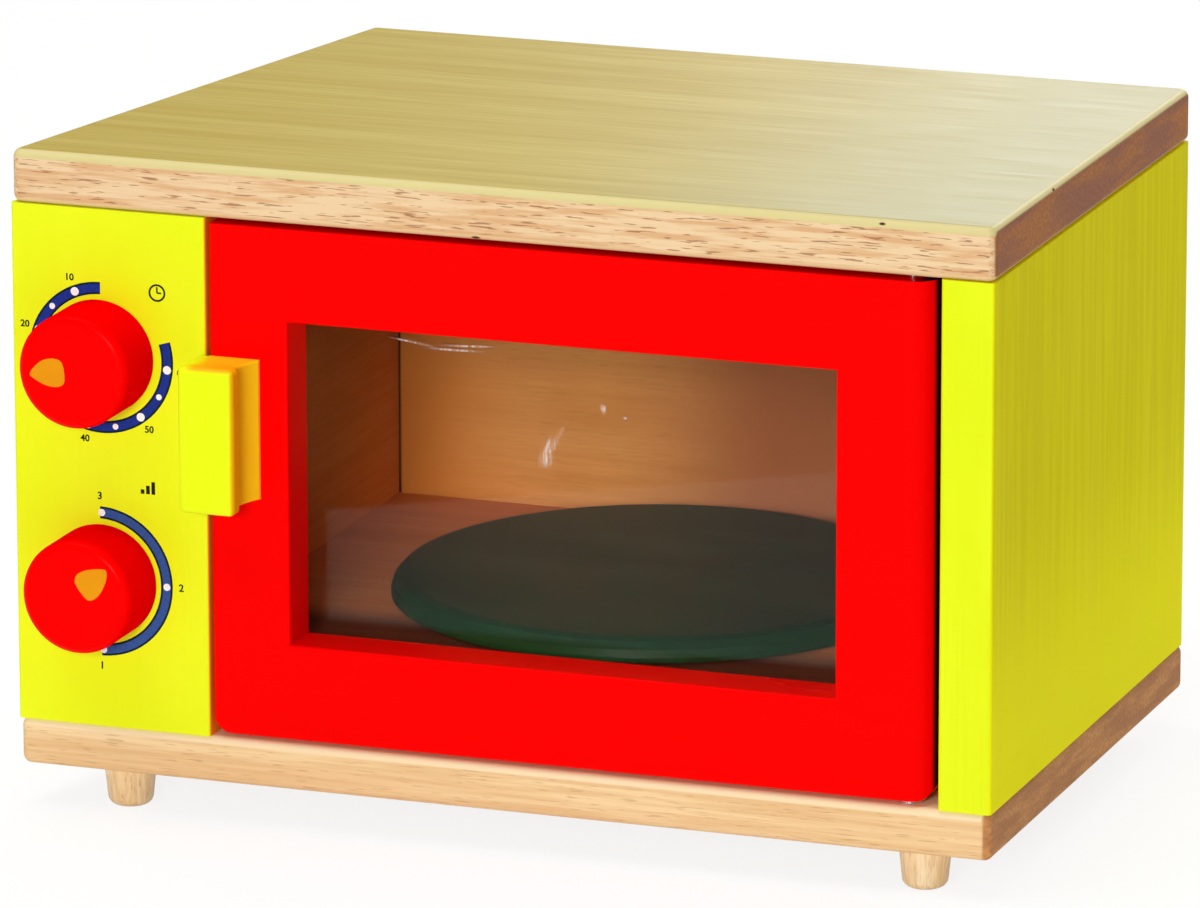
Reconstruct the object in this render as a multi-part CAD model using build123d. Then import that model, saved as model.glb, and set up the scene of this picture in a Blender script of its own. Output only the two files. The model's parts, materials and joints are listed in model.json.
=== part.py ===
from build123d import *
import os
from math import atan, cos, degrees

# A wooden toy microwave oven, in millimetres.
# +Z is up and the front faces -Y. The origin is on the ground under the middle of
# the whole outline, handle included. The control panel is on the left (-X), and the
# door turns on two pins at its right edge.

os.makedirs("parts", exist_ok=True)

# Top and base boards
board_width = 320.0
board_depth = 204.0
side_taper = 42.0
top_thick = 17.0
base_thick = 15.0
board_corner_radius = 3.0
board_edge_radius = 2.6
opening_height = 166.0

# Walls between the boards
right_side_thick = 17.0
left_side_thick = 7.5
wall_edge_radius = 1.2
rear_inset = 1.0
back_thick = 8.0
back_inset = 2.0
control_width = 65.0
control_thick = 17.0
divider_thick = 6.0
divider_gap = 0.4

# Raised oven floor and its rails
floor_height = 29.0
floor_thick = 6.0
rail_thick = 10.0
floor_front_gap = 2.5
batten_height = 10.0

# Feet
foot_height = 13.0
foot_radius = 8.25
foot_tip_radius = 6.9
foot_edge_radius = 3.0
foot_tenon_radius = 4.0
foot_tenon_length = 6.0
foot_front_inset = 12.0
foot_rear_inset = 18.0
foot_right_inset = 24.5
foot_left_inset = 30.5

# Door
door_thick = 18.0
door_left_gap = 1.3
door_right_gap = 2.5
door_end_gap = 1.5
door_corner_radius = 5.5
door_edge_radius = 1.2
left_stile = 25.7
hinge_stile = 30.5
bottom_rail = 30.5
top_rail = 29.5
window_edge_radius = 1.0

# Window pane
pane_thick = 2.0
pane_overlap = 10.0
pane_side_gap = 0.3
pane_screw_inset = 5.0

# Door handle
handle_width = 18.4
handle_height = 46.4
handle_reach = 20.7
handle_edge_radius = 2.0
handle_overhang = 2.8
handle_relief = 0.5
handle_rise = 75.7
grip_thick = 5.0
grip_overhang = 1.0
neck_inset = 2.5
neck_bow = 1.0
neck_edge_radius = 0.8
heel_flare = 0.9
heel_thick = 1.2

# Hinge pins and catch
pin_radius = 2.0
pin_in_door = 12.0
pin_in_board = 8.0
washer_thick = 1.1
washer_radius = 5.0
catch_wall = 2.0
catch_height = 24.0
catch_depth = 12.0
catch_gap = 0.5
magnet_radius = 4.0
magnet_thick = 3.0
plate_radius = 5.0
plate_thick = 1.0

# Knobs
knob_radius = 18.2
knob_height = 22.0
knob_edge_radius = 3.0
knob_gap = 0.4
knob_x = 29.4
timer_knob_rise = 119.2
power_knob_rise = 47.2
axle_radius = 4.0
axle_in_knob = 14.0
collar_radius = 9.0
collar_thick = 4.0

# Turntable
table_side_gap = 3.5
table_left_shift = 3.0
table_thick = 7.0
table_edge_radius = 6.0
spindle_radius = 5.0
spindle_in_table = 4.0
table_washer_radius = 12.0
table_washer_thick = 0.7

# Clearances
running_fit = 0.07
moving_gap = 0.3
seat_gap = 0.02

# Dowels and screws
dowel_radius = 3.0
dowel_in_board = 10.0
dowel_in_wall = 14.0
screw_radius = 1.6
screw_head_radius = 3.2
screw_head_height = 1.8
small_screw_radius = 1.2
small_head_radius = 2.3
small_head_height = 1.2

# Places that follow from the sizes above
left = -board_width / 2
right = board_width / 2
reach = max(handle_reach, knob_height + knob_gap)
front = (reach - board_depth) / 2
rear = front + board_depth
base_top = foot_height + base_thick
top_under = base_top + opening_height
top_face = top_under + top_thick
taper_angle = atan(side_taper / board_depth)
left_wall_run = left_side_thick / cos(taper_angle)
wall_rear = rear - rear_inset
back_rear = rear - back_inset
back_front = back_rear - back_thick
control_right = left + control_width
control_back = front + control_thick
divider_left = left + side_taper * (back_front - front) / board_depth + left_wall_run + divider_gap
cavity_left = divider_left + divider_thick
cavity_right = right - right_side_thick
floor_top = base_top + floor_height
floor_under = floor_top - floor_thick
door_left = control_right + door_left_gap
door_right = cavity_right - door_right_gap
door_low = base_top + door_end_gap
door_high = top_under - door_end_gap
door_back = front + door_thick
floor_front = door_back + floor_front_gap
window_left = door_left + left_stile
window_right = door_right - hinge_stile
window_low = door_low + bottom_rail
window_high = door_high - top_rail
hinge_x = door_right - door_thick / 2
hinge_y = front + door_thick / 2
handle_left = door_left - handle_overhang
handle_right = handle_left + handle_width
handle_low = door_low + handle_rise
handle_high = handle_low + handle_height
grip_x = (door_left + handle_right) / 2
catch_x = grip_x
catch_right = catch_x + magnet_radius + catch_wall
catch_z = (handle_low + handle_high) / 2
catch_front = door_back + catch_gap
timer_z = base_top + timer_knob_rise
power_z = base_top + power_knob_rise
knob_axis_x = left + knob_x
spindle_x = (cavity_left + cavity_right) / 2 - table_left_shift
spindle_y = (door_back + back_front) / 2
table_radius = min(cavity_right - cavity_left - 2 * table_left_shift, back_front - door_back) / 2 - table_side_gap
table_low = floor_top + table_washer_thick + moving_gap
table_high = table_low + table_thick


def side_line(y):
    """X of the outline's left edge, which runs in towards the back, at a given y."""
    return left + side_taper * (y - front) / board_depth


def block(x0, x1, y0, y1, z0, z1):
    """A box between two corners."""
    return Pos(x0, y0, z0) * Box(x1 - x0, y1 - y0, z1 - z0, align=(Align.MIN, Align.MIN, Align.MIN))


def prism(points, z0, z1):
    """An upright prism on a plan outline."""
    return Pos(0, 0, z0) * extrude(Polygon(*points, align=None), amount=z1 - z0)


def rod_z(x, y, z0, z1, radius):
    """An upright round rod."""
    return Pos(x, y, z0) * Cylinder(radius, z1 - z0, align=(Align.CENTER, Align.CENTER, Align.MIN))


def rod_y(x, z, y0, y1, radius):
    """A round rod that runs front to back."""
    return Pos(x, y1, z) * Rot(90, 0, 0) * Cylinder(radius, y1 - y0, align=(Align.CENTER, Align.CENTER, Align.MIN))


def group(solids):
    """Separate like solids kept together in one node."""
    return Compound(children=[s.solid() for s in solids])


def left_of_cavity():
    """Everything left of the slanted wall's inner face, with a seat gap."""
    run = left_wall_run + seat_gap
    y0 = front - 50
    y1 = rear + 50
    far = left - board_width
    outline = [(far, y0), (side_line(y0) + run, y0), (side_line(y1) + run, y1), (far, y1)]
    return prism(outline, -50, top_face + 50)


def upright_edges(shape):
    return shape.edges().filter_by(Axis.Z)


# Fasteners and where they go

dowel_spots = [
    (right - right_side_thick / 2, front + 0.18 * board_depth),
    (right - right_side_thick / 2, rear - 0.18 * board_depth),
    (side_line(front) + 0.22 * control_width, front + control_thick / 2),
    (control_right - 0.22 * control_width, front + control_thick / 2),
]

rail_screw_x = [cavity_left + 0.2 * (cavity_right - cavity_left), cavity_right - 0.2 * (cavity_right - cavity_left)]

base_screw_spots = dowel_spots


def base_screw(x, y, extra=0.0):
    """A countersunk screw driven up through the base board."""
    tip = base_top + 12.0
    shank = rod_z(x, y, foot_height, tip, screw_radius + extra)
    head = Pos(x, y, foot_height) * Cone(
        screw_head_radius + extra,
        screw_radius + extra,
        screw_head_height,
        align=(Align.CENTER, Align.CENTER, Align.MIN),
    )
    return shank + head


def base_screw_holes():
    return [base_screw(x, y, seat_gap) for x, y in base_screw_spots]


def dowel(x, y, extra=0.0):
    return rod_z(x, y, top_under - dowel_in_wall - extra, top_under + dowel_in_board + extra, dowel_radius + extra)


def dowel_holes():
    return [dowel(x, y, seat_gap) for x, y in dowel_spots]


def back_screw_spots():
    """Two screws into the rear rail and two into the upper batten."""
    spots = []
    for x in rail_screw_x:
        spots.append((x, (base_top + floor_under) / 2))
        spots.append((x, top_under - batten_height / 2))
    return spots


def back_screw(x, z, extra=0.0):
    """A round-headed screw driven forwards through the back panel."""
    shank = rod_y(x, z, back_front - 0.7 * rail_thick, back_rear, small_screw_radius + extra)
    head = rod_y(x, z, back_rear, back_rear + small_head_height, small_head_radius)
    return shank + head


def back_screw_holes():
    return [back_screw(x, z, seat_gap) for x, z in back_screw_spots()]


# Boards and feet


def board(z0, z1):
    """A board with the plan outline and all its edges rounded over."""
    outline = [
        (left, front),
        (right, front),
        (right, rear),
        (side_line(rear), rear),
    ]
    body = prism(outline, z0, z1)
    body = fillet(upright_edges(body), board_corner_radius)
    rims = body.faces().sort_by(Axis.Z)
    return fillet(rims[0].edges() + rims[-1].edges(), board_edge_radius)


def foot_spots():
    """Centres of the four feet, in the order of their names."""
    front_y = front + foot_front_inset
    rear_y = rear - foot_rear_inset
    return {
        "foot_front_left": (side_line(front_y) + foot_left_inset, front_y),
        "foot_front_right": (right - foot_right_inset, front_y),
        "foot_rear_left": (side_line(rear_y) + foot_left_inset, rear_y),
        "foot_rear_right": (right - foot_right_inset, rear_y),
    }


def foot(x, y):
    """A tapered round peg with a rounded tip and a tenon glued into the base board."""
    peg = Pos(x, y, 0) * Cone(
        foot_tip_radius,
        foot_radius,
        foot_height,
        align=(Align.CENTER, Align.CENTER, Align.MIN),
    )
    peg = fillet(peg.faces().sort_by(Axis.Z)[0].edges(), foot_edge_radius)
    return peg + rod_z(x, y, foot_height, foot_height + foot_tenon_length, foot_tenon_radius)


def base_board():
    body = board(foot_height, base_top)
    for x, y in foot_spots().values():
        depth = foot_tenon_length + seat_gap
        body -= rod_z(x, y, foot_height, foot_height + depth, foot_tenon_radius + seat_gap)
    body -= rod_z(hinge_x, hinge_y, base_top - pin_in_board - seat_gap, base_top, pin_radius + seat_gap)
    for hole in base_screw_holes():
        body -= hole
    return body


def top_board():
    body = board(top_under, top_face)
    body -= rod_z(hinge_x, hinge_y, top_under, top_under + pin_in_board + seat_gap, pin_radius + seat_gap)
    for hole in dowel_holes():
        body -= hole
    return body


# Walls


def right_side_panel():
    body = block(cavity_right, right, front, wall_rear, base_top, top_under)
    body = fillet(upright_edges(body), wall_edge_radius)
    for hole in base_screw_holes() + dowel_holes():
        body -= hole
    return body


def left_side_panel():
    """A thin wall behind the control panel that follows the outline's slanted side."""
    outline = [
        (side_line(control_back), control_back),
        (side_line(control_back) + left_wall_run, control_back),
        (side_line(wall_rear) + left_wall_run, wall_rear),
        (side_line(wall_rear), wall_rear),
    ]
    body = prism(outline, base_top, top_under)
    rear_edge = upright_edges(body).sort_by(Axis.Y)[-2:].sort_by(Axis.X)[0]
    return fillet(rear_edge, wall_edge_radius)


def control_panel():
    """The thick front board that carries the two knobs."""
    outline = [
        (left, front),
        (control_right, front),
        (control_right, control_back),
        (side_line(control_back), control_back),
    ]
    body = prism(outline, base_top, top_under)
    front_edges = upright_edges(body).sort_by(Axis.Y)[:2]
    body = fillet(front_edges, wall_edge_radius)
    for z in (timer_z, power_z):
        body -= rod_y(knob_axis_x, z, front - 1, control_back + 1, axle_radius + running_fit)
    for hole in base_screw_holes() + dowel_holes():
        body -= hole
    return body


def divider_wall():
    """The oven's left wall, between the cavity and the space behind the knobs."""
    body = block(divider_left, cavity_left, control_back, back_front, base_top, top_under)
    return body - left_of_cavity()


def back_panel():
    body = block(left, cavity_right, back_front, back_rear, base_top, top_under)
    body -= left_of_cavity()
    for hole in back_screw_holes():
        body -= hole
    return body


def cavity_floor():
    """The raised floor that the turntable stands on."""
    body = block(cavity_left, cavity_right, floor_front, back_front, floor_under, floor_top)
    body -= left_of_cavity()
    return body - rod_z(spindle_x, spindle_y, floor_under - 1, floor_top + 1, spindle_radius + running_fit)


def floor_front_rail():
    return block(cavity_left, cavity_right, floor_front, floor_front + rail_thick, base_top, floor_under)


def floor_rear_rail():
    body = block(cavity_left, cavity_right, back_front - rail_thick, back_front, base_top, floor_under)
    body -= left_of_cavity()
    for hole in back_screw_holes():
        body -= hole
    return body


def back_top_batten():
    z0 = top_under - batten_height
    body = block(cavity_left, cavity_right, back_front - rail_thick, back_front, z0, top_under)
    body -= left_of_cavity()
    for hole in back_screw_holes():
        body -= hole
    return body


# Magnetic catch on the divider, behind the door's free edge


def catch_block():
    """A small block on the divider that carries the magnet and stops at the door's back."""
    body = block(
        cavity_left,
        catch_right,
        catch_front,
        catch_front + catch_depth,
        catch_z - catch_height / 2,
        catch_z + catch_height / 2,
    )
    return body - rod_y(catch_x, catch_z, catch_front, catch_front + magnet_thick + seat_gap, magnet_radius + seat_gap)


def catch_magnet():
    return rod_y(catch_x, catch_z, catch_front, catch_front + magnet_thick, magnet_radius)


def catch_plate():
    """The steel disc let into the door's back, in front of the magnet."""
    return rod_y(catch_x, catch_z, door_back - plate_thick, door_back, plate_radius)


# Hinge


def hinge_pins():
    """Two like steel pins set in the boards, on which the door turns."""
    low = rod_z(hinge_x, hinge_y, base_top - pin_in_board, door_low + pin_in_door, pin_radius)
    high = rod_z(hinge_x, hinge_y, door_high - pin_in_door, top_under + pin_in_board, pin_radius)
    return group([low, high])


def hinge_washer():
    ring = rod_z(hinge_x, hinge_y, base_top, base_top + washer_thick, washer_radius)
    return ring - rod_z(hinge_x, hinge_y, base_top - 1, base_top + 2 * washer_thick, pin_radius + running_fit)


# Door


def door_blank():
    """The door's board: square at the top, rounded below, with a half-round hinge edge."""
    body = block(door_left, hinge_x, front, door_back, door_low, door_high)
    nose = rod_z(hinge_x, hinge_y, door_low, door_high, door_thick / 2)
    body = body + nose
    corner = body.edges().filter_by(Axis.Y).sort_by(Axis.X)[:2].sort_by(Axis.Z)[0]
    body = fillet(corner, door_corner_radius)
    free_edge = body.faces().sort_by(Axis.X)[0].edges().filter_by(Axis.Z)
    return fillet(free_edge, door_edge_radius)


def hinge_corner_cut():
    """What comes off the door's lower corner at the hinge, to round it as the free one is."""
    r = door_corner_radius
    far = door_right + 1
    cut = block(door_right - r, far, front - 1, door_back + 1, door_low - 1, door_low + r)
    return cut - rod_y(door_right - r, door_low + r, front - 2, door_back + 2, r)


def pane_room(gap):
    """The space of the pane, at the door's back, with a gap all round."""
    reach_out = pane_overlap + gap
    return block(
        window_left - reach_out,
        window_right + reach_out,
        door_back - pane_thick,
        door_back,
        window_low - reach_out,
        window_high + reach_out,
    )


def handle_screw(z, extra=0.0):
    """A countersunk screw from the door's back into the handle."""
    tip = front - 0.6 * handle_reach
    shank = rod_y(grip_x, z, tip, door_back, screw_radius + extra)
    sink = Pos(grip_x, door_back, z) * Rot(90, 0, 0) * Cone(
        screw_head_radius + extra,
        screw_radius + extra,
        screw_head_height,
        align=(Align.CENTER, Align.CENTER, Align.MIN),
    )
    return shank + sink


def handle_screw_levels():
    return [handle_low + 0.2 * handle_height, handle_high - 0.2 * handle_height]


def pane_screw_spots():
    """One screw near each corner of the pane."""
    s = pane_screw_inset
    spots = []
    for x in (window_left - s, window_right + s):
        for z in (window_low - s, window_high + s):
            spots.append((x, z))
    return spots


def pane_screw(x, z, extra=0.0):
    """A small round-headed screw through the pane into the door."""
    tip = door_back - 0.6 * door_thick
    shank = rod_y(x, z, tip, door_back, small_screw_radius + extra)
    return shank + rod_y(x, z, door_back, door_back + small_head_height, small_head_radius)


def door_frame():
    body = door_blank() - hinge_corner_cut()
    window = block(window_left, window_right, front - 5, door_back + 5, window_low, window_high)
    body -= window
    rim = body.faces().filter_by(Axis.Y).sort_by(Axis.Y)[0].inner_wires()[0].edges()
    body = fillet(rim, window_edge_radius)
    body -= pane_room(pane_side_gap)
    bore = pin_radius + running_fit
    body -= rod_z(hinge_x, hinge_y, door_low - 1, door_low + pin_in_door + moving_gap, bore)
    body -= rod_z(hinge_x, hinge_y, door_high - pin_in_door - moving_gap, door_high + 1, bore)
    plate_room = rod_y(catch_x, catch_z, door_back - plate_thick, door_back + 1, plate_radius + seat_gap)
    body -= plate_room
    for z in handle_screw_levels():
        body -= handle_screw(z, seat_gap)
    for x, z in pane_screw_spots():
        body -= pane_screw(x, z, seat_gap)
    return body


def window_pane():
    body = pane_room(0)
    for x, z in pane_screw_spots():
        body -= pane_screw(x, z, seat_gap)
    return body


def handle_neck():
    """The handle's body behind its grip: its right side bows in and flares to the door."""
    y0 = front - handle_reach + grip_thick - 1
    y1 = front - heel_thick
    inner = handle_right - neck_inset
    outer = handle_right + heel_flare
    bowed = ThreePointArc((inner, y0), ((inner + outer) / 2 - neck_bow, (y0 + y1) / 2), (outer, y1))
    straight = Polyline((outer, y1), (outer, front), (handle_left, front), (handle_left, y0), (inner, y0))
    plan = make_face(Curve() + [bowed, straight])
    low = handle_low + grip_overhang
    body = Pos(0, 0, low) * extrude(plan, amount=handle_height - 2 * grip_overhang)
    level = body.faces().sort_by(Axis.Z)
    rims = [f.edges().sort_by(Axis.X)[-2:].sort_by(Axis.Y)[0] for f in (level[0], level[-1])]
    return fillet(rims, neck_edge_radius)


def door_handle():
    """A grip plate on a narrower neck; its left edge reaches past the door's edge."""
    y0 = front - handle_reach
    grip = block(handle_left, handle_right, y0, y0 + grip_thick, handle_low, handle_high)
    face = grip.faces().sort_by(Axis.Y)[0]
    grip = fillet(face.edges() + grip.edges().filter_by(Axis.Y), handle_edge_radius)
    body = grip + handle_neck()
    body -= block(handle_left - 1, door_left, front - handle_relief, front + 1, handle_low - 1, handle_high + 1)
    for z in handle_screw_levels():
        body -= handle_screw(z, seat_gap)
    return body


# Knobs


def knob(z):
    """A turned knob with a rounded front edge and a blind hole for its axle."""
    back = front - knob_gap
    body = rod_y(knob_axis_x, z, back - knob_height, back, knob_radius)
    body = fillet(body.faces().sort_by(Axis.Y)[0].edges(), knob_edge_radius)
    return body - rod_y(knob_axis_x, z, back - axle_in_knob, back + 1, axle_radius + seat_gap)


def axle_end():
    return control_back + moving_gap + collar_thick


def knob_axle(z):
    return rod_y(knob_axis_x, z, front - knob_gap - axle_in_knob + seat_gap, axle_end(), axle_radius)


def knob_collar(z):
    """The ring glued on the axle's end, which keeps the knob in its panel."""
    ring = rod_y(knob_axis_x, z, axle_end() - collar_thick, axle_end(), collar_radius)
    return ring - rod_y(knob_axis_x, z, control_back - 1, axle_end() + 1, axle_radius + seat_gap)


# Turntable


def spindle_end():
    return floor_under - moving_gap - collar_thick


def turntable_disc():
    """A turned disc whose upper edge rolls over in three short bevels."""
    edge = table_edge_radius
    profile = [
        (0, 0),
        (table_radius, 0),
        (table_radius, table_thick - 0.9 * edge),
        (table_radius - 0.13 * edge, table_thick - 0.5 * edge),
        (table_radius - 0.5 * edge, table_thick - 0.13 * edge),
        (table_radius - edge, table_thick),
        (0, table_thick),
    ]
    body = revolve(Plane.XZ * Polygon(*profile, align=None), Axis.Z)
    body = Pos(spindle_x, spindle_y, table_low) * body
    return body - rod_z(spindle_x, spindle_y, table_low - 1, table_low + spindle_in_table, spindle_radius + seat_gap)


def turntable_spindle():
    return rod_z(spindle_x, spindle_y, spindle_end(), table_low + spindle_in_table - seat_gap, spindle_radius)


def turntable_collar():
    """The ring glued on the spindle under the floor."""
    ring = rod_z(spindle_x, spindle_y, spindle_end(), spindle_end() + collar_thick, collar_radius)
    return ring - rod_z(spindle_x, spindle_y, spindle_end() - 1, floor_under, spindle_radius + seat_gap)


def turntable_washer():
    ring = rod_z(spindle_x, spindle_y, floor_top, floor_top + table_washer_thick, table_washer_radius)
    bore = spindle_radius + running_fit
    return ring - rod_z(spindle_x, spindle_y, floor_top - 1, floor_top + 2 * table_washer_thick, bore)


# All the pieces, by the name of their node

nodes = {
    "base_board": base_board(),
    "top_board": top_board(),
    "right_side_panel": right_side_panel(),
    "left_side_panel": left_side_panel(),
    "control_panel": control_panel(),
    "divider_wall": divider_wall(),
    "back_panel": back_panel(),
    "cavity_floor": cavity_floor(),
    "floor_front_rail": floor_front_rail(),
    "floor_rear_rail": floor_rear_rail(),
    "back_top_batten": back_top_batten(),
    "top_dowels": group([dowel(x, y) for x, y in dowel_spots]),
    "base_screws": group([base_screw(x, y) for x, y in base_screw_spots]),
    "back_panel_screws": group([back_screw(x, z) for x, z in back_screw_spots()]),
    "catch_block": catch_block(),
    "catch_magnet": catch_magnet(),
    "hinge_pins": hinge_pins(),
    "hinge_washer": hinge_washer(),
    "turntable_washer": turntable_washer(),
    "door_frame": door_frame(),
    "window_pane": window_pane(),
    "pane_screws": group([pane_screw(x, z) for x, z in pane_screw_spots()]),
    "door_handle": door_handle(),
    "handle_screws": group([handle_screw(z) for z in handle_screw_levels()]),
    "catch_plate": catch_plate(),
    "turntable_disc": turntable_disc(),
    "turntable_spindle": turntable_spindle(),
    "turntable_collar": turntable_collar(),
}

for spot_name, (foot_x, foot_y) in foot_spots().items():
    nodes[spot_name] = foot(foot_x, foot_y)

for knob_name, knob_z in (("timer", timer_z), ("power", power_z)):
    nodes[knob_name + "_knob"] = knob(knob_z)
    nodes[knob_name + "_axle"] = knob_axle(knob_z)
    nodes[knob_name + "_collar"] = knob_collar(knob_z)

for name, shape in nodes.items():
    export_step(shape, "parts/" + name + ".step")

print(len(nodes), "nodes; front at", round(front, 2), "top at", round(top_face, 2))
print("hinge", round(hinge_x, 2), round(hinge_y, 2), "spindle", round(spindle_x, 2), round(spindle_y, 2))
print("knobs x", round(knob_axis_x, 2), "z", round(timer_z, 2), round(power_z, 2))
print("window", [round(v, 2) for v in (window_left, window_right, window_low, window_high)])
print("cavity", [round(v, 2) for v in (cavity_left, cavity_right, door_back, back_front, table_high, top_under)])
print("wall slant", round(degrees(taper_angle), 2), "degrees")
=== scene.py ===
# %% [markdown]
# # A wooden toy microwave oven
# The real toy is made of rubberwood boards, painted panels and a few turned knobs. The exact
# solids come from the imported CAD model, so this lesson is about what makes them look real:
# finishes, printed dials, screws, lamps and a camera. Everything is in metres, in the CAD frame.
# The object's front faces -Y, X runs to the right and Z points up.

# %% Load the CAD model as a fixed frame
import json
import math

import bmesh
import bpy
from mathutils import Matrix, Vector

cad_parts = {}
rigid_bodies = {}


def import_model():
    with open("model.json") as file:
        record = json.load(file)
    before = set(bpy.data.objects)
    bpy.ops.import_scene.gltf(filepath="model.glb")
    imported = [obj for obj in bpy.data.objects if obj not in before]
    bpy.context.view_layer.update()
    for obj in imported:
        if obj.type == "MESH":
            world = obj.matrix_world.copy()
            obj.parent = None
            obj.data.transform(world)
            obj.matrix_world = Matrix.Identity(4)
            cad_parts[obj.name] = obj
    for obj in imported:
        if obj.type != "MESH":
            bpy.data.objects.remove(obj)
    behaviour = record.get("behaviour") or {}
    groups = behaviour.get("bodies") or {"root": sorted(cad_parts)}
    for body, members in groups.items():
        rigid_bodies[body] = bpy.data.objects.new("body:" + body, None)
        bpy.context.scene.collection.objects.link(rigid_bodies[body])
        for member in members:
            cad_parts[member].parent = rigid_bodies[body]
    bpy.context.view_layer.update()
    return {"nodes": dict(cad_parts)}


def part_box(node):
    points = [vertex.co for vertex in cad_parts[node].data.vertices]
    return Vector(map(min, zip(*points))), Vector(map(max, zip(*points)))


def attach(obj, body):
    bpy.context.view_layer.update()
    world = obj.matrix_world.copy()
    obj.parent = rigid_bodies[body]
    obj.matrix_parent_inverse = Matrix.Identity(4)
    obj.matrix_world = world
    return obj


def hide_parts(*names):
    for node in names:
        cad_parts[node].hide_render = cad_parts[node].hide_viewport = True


for leftover in list(bpy.data.objects):
    bpy.data.objects.remove(leftover)
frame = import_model()
MM = 0.001
FRONT_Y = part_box("control_panel")[0][1] / MM
print("front face at y", round(FRONT_Y, 2), "mm")

# %% [markdown]
# ## The camera
# The photograph was taken with a long lens from the right, slightly above. A pinhole camera was
# fitted to the corners of the boards, which gives a place, three angles and a focal length. A
# camera looks along its own -Z axis, so its three axes are written as the columns of a matrix.
# That is safer than a tracking constraint, because the small roll stays in.

# %% Place the camera
PICTURE_WIDTH_PX = 1200
FOCAL_PX = 9899.16
SENSOR_WIDTH_MM = 36.0
YAW, PITCH, ROLL = math.radians(19.8971), math.radians(14.7580), math.radians(-0.09626)
CAMERA_PLACE = Vector((1.02701, FRONT_Y * MM - 2.74276, 0.89883))


def new_object(name, data):
    """A new object with its data, linked into the scene."""
    thing = bpy.data.objects.new(name, data)
    bpy.context.scene.collection.objects.link(thing)
    return thing


forward = Vector((-math.sin(YAW) * math.cos(PITCH), math.cos(YAW) * math.cos(PITCH), -math.sin(PITCH)))
level_right = Vector((math.cos(YAW), math.sin(YAW), 0.0))
level_up = level_right.cross(forward)
camera_right = math.cos(ROLL) * level_right + math.sin(ROLL) * level_up
camera_up = math.cos(ROLL) * level_up - math.sin(ROLL) * level_right

camera_data = bpy.data.cameras.new("view_camera")
camera_data.sensor_width = SENSOR_WIDTH_MM
camera_data.lens = FOCAL_PX / PICTURE_WIDTH_PX * SENSOR_WIDTH_MM
camera = new_object("view_camera", camera_data)
columns = zip(camera_right, camera_up, -forward, CAMERA_PLACE)
camera.matrix_world = Matrix([*columns, (0.0, 0.0, 0.0, 1.0)])
bpy.context.scene.camera = camera
print("lens", round(camera_data.lens, 1), "mm")

# %% [markdown]
# ## Colours and nodes
# Paint charts and photographs give colours as sRGB hex values, while a renderer adds light in
# linear values. One function turns the first into the second. Another adds one shader node with
# its settings and its links, and gives back the output that the next node needs, so that each
# material below reads as a short recipe. Two sets of settings come back all the time: a Map Range
# node that eases in and out, and a Mix node for colours, whose inputs are 6 and 7.

# %% Turn hex colours to linear and add nodes
SOFT = {"interpolation_type": "SMOOTHSTEP"}
AS_COLOUR = {"output": 2, "data_type": "RGBA"}


def linear(hex_code):
    """The linear RGBA of a colour that is written as sRGB hex."""
    channels = [int(hex_code[i : i + 2], 16) / 255 for i in (1, 3, 5)]
    return [c / 12.92 if c <= 0.04045 else ((c + 0.055) / 1.055) ** 2.4 for c in channels] + [1.0]


def add(material, kind, inputs=None, output=0, **settings):
    """Adds one node and gives back one of its outputs.

    inputs, by name or number, are numbers, hex colours or sockets to link from; settings are the
    node's own properties."""
    node = material.node_tree.nodes.new("ShaderNode" + kind)
    for name, value in settings.items():
        setattr(node, name, value)
    for key, value in (inputs or {}).items():
        if isinstance(value, bpy.types.NodeSocket):
            material.node_tree.links.new(value, node.inputs[key])
        else:
            node.inputs[key].default_value = linear(value) if isinstance(value, str) else value
    return node.outputs[output] if node.outputs else None


def new_material(name):
    """An empty material. Its recipe ends with an output node that takes the last shader."""
    material = bpy.data.materials.new(name)
    material.use_nodes = True
    material.node_tree.nodes.clear()
    return material


print("yellow in linear values:", [round(c, 3) for c in linear("#F2F41C")])

# %% [markdown]
# Most of a finish is one tone that shows over another: a stain in the pores, a line of grain, a
# darker sawn end. A painter lays the second tone on where it is wanted and lets it fade. Here a
# pattern says where, the value at which it starts and the one at which it is full say how soft.

# %% Lay one tone over another
def lay_over(material, under, over, where, low=0.0, high=1.0, most=1.0):
    """The colour under, covered by over where the pattern rises from low to high, by most at most."""
    share = add(
        material,
        "MapRange",
        {"Value": where, "From Min": low, "From Max": high, "To Max": most},
        **SOFT,
    )
    return add(material, "Mix", {0: share, 6: under, 7: over}, **AS_COLOUR)


print("tones are laid over each other with soft ends")

# %% [markdown]
# ## Wood grain
# Rubberwood is cut along the trunk, so its fibres, its darker bands and its open pores all run
# one way. A grain could be an image, but a noise that is stretched along the board has no seams,
# runs right through the wood and shows round dots on the sawn ends, as real pores do. The sizes
# are those of the real timber: bands some 9 mm apart, fibres 1.2 mm apart, pores 0.5 mm wide.

# %% Stretch noise along the grain
BAND_MM, FIBRE_MM, PORE_MM = (210.0, 9.0), (42.0, 1.2), (7.0, 0.55)


def stretched_noise(material, along, length_mm, width_mm, detail=2.0, shift=0.0):
    """Noise whose blobs are length_mm long in the direction along (0, 1 or 2) and width_mm across."""
    place = add(material, "TexCoord", output="Object")
    per_metre = [1000.0 / (length_mm if axis == along else width_mm) for axis in range(3)]
    squeezed = add(material, "Mapping", {"Vector": place, "Scale": per_metre, "Location": (shift,) * 3})
    settings = {"Vector": squeezed, "Scale": 1.0, "Detail": detail, "Roughness": 0.55}
    return add(material, "TexNoise", settings, "Fac")


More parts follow.
